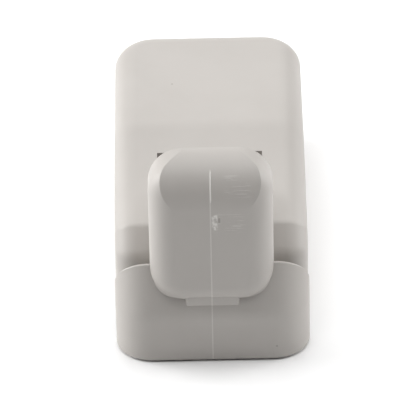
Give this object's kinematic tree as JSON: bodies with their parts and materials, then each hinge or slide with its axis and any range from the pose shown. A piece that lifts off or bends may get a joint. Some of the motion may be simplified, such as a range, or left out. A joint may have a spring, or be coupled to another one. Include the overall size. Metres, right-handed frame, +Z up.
{
  "type": "stair gate latch",
  "caption": "Sliding latch for a stair gate: a low moulded housing with an upright thumb pad and a full-width latch nose on a sprung slide.",
  "frame": {"origin": "centre of the footprint on the underside of the base plate", "axes": "+X to the right seen from the latch nose, +Y from the nose to the back (the way the slide is pushed to open), +Z up off the base"},
  "size_m": [0.04, 0.0842, 0.0468],
  "materials": {
    "grey_plastic": "satin moulded, warm light grey",
    "base_plastic": "fine matt moulded",
    "acetal": "natural white, smooth",
    "steel": "ground and plated",
    "spring_steel": "drawn wire",
    "zinc_screw": "bright zinc plated",
    "brass_insert": "turned",
    "buffer_rubber": "matt"
  },
  "bodies": {
    "root": {"housing_cover": "grey_plastic", "base_plate": "base_plastic", "case_screws": "zinc_screw", "fixing_inserts": "brass_insert", "guide_rod_left": "steel", "guide_rod_right": "steel", "rod_clips": "spring_steel", "stop_buffer_left": "buffer_rubber", "stop_buffer_right": "buffer_rubber", "spring_seat_left": "acetal", "spring_seat_right": "acetal", "rear_buffer": "buffer_rubber"},
    "slide": {"thumb_slide": "grey_plastic", "nose_plate": "steel", "nose_plate_screws": "zinc_screw", "slide_block": "acetal", "slide_screws": "zinc_screw", "slide_bush_left": "acetal", "slide_bush_right": "acetal", "return_spring_left": "spring_steel", "return_spring_right": "spring_steel"}
  },
  "joints": [
    {"name": "thumb_slide_travel", "type": "slide", "parent": "root", "child": "slide", "axis": [0, 1, 0], "range_m": [0, 0.005], "stiffness_N_per_m": 500, "springref_m": -0.008, "deforming": ["return_spring_left", "return_spring_right"]}
  ]
}
